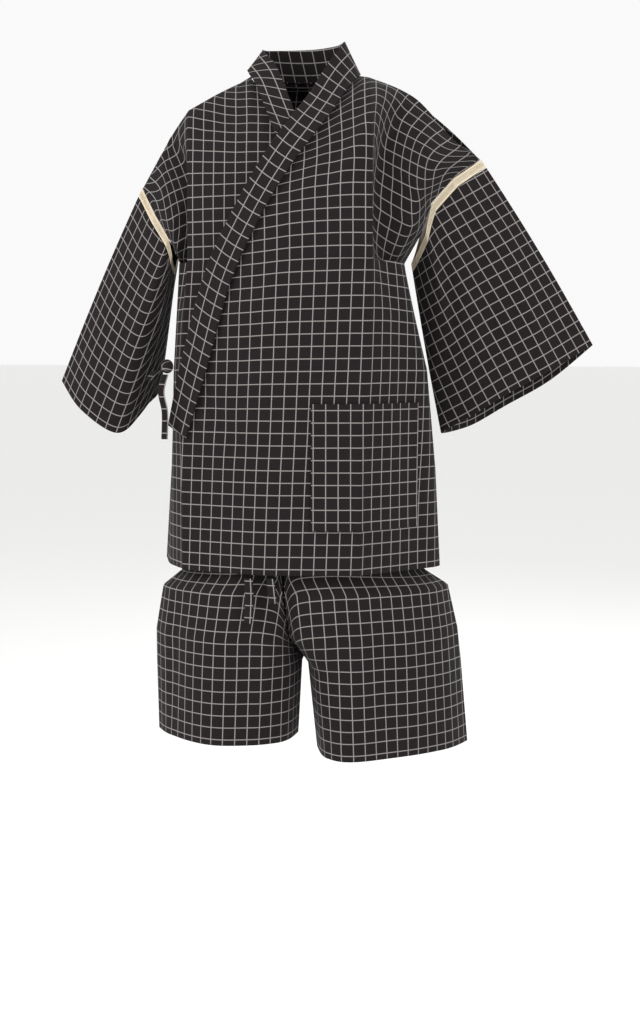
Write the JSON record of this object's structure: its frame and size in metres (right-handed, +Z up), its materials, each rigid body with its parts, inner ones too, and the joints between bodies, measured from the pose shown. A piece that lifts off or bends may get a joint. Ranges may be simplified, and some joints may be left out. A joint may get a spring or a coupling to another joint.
{
  "type": "jinbei set",
  "caption": "Short kimono-cut jacket and matching shorts in thin checked cotton, with lace at the shoulders, in the hollow form they take when worn",
  "frame": {"origin": "centre of the base of the neck, where the shoulders carry the jacket", "axes": "+Z up along the body, -Y the wearer's front, +X the wearer's left"},
  "size_m": [0.7998, 0.3668, 1.0701],
  "materials": {
    "check_cloth": "matte woven cotton, thin pale windowpane check",
    "lace": "cream openwork cotton lace"
  },
  "bodies": {
    "root": {"jacket_front_left": "check_cloth", "jacket_front_right": "check_cloth", "jacket_back": "check_cloth", "sleeve_left": "check_cloth", "sleeve_right": "check_cloth", "collar": "check_cloth", "pocket": "check_cloth", "tie_knot": "check_cloth", "tie_tail_front": "check_cloth", "tie_tail_side": "check_cloth", "shorts_front_left": "check_cloth", "shorts_back_left": "check_cloth", "shorts_front_right": "check_cloth", "shorts_back_right": "check_cloth", "waistband": "check_cloth", "drawstring_left": "check_cloth", "drawstring_right": "check_cloth", "lace_left": "lace", "lace_right": "lace"}
  },
  "joints": []
}
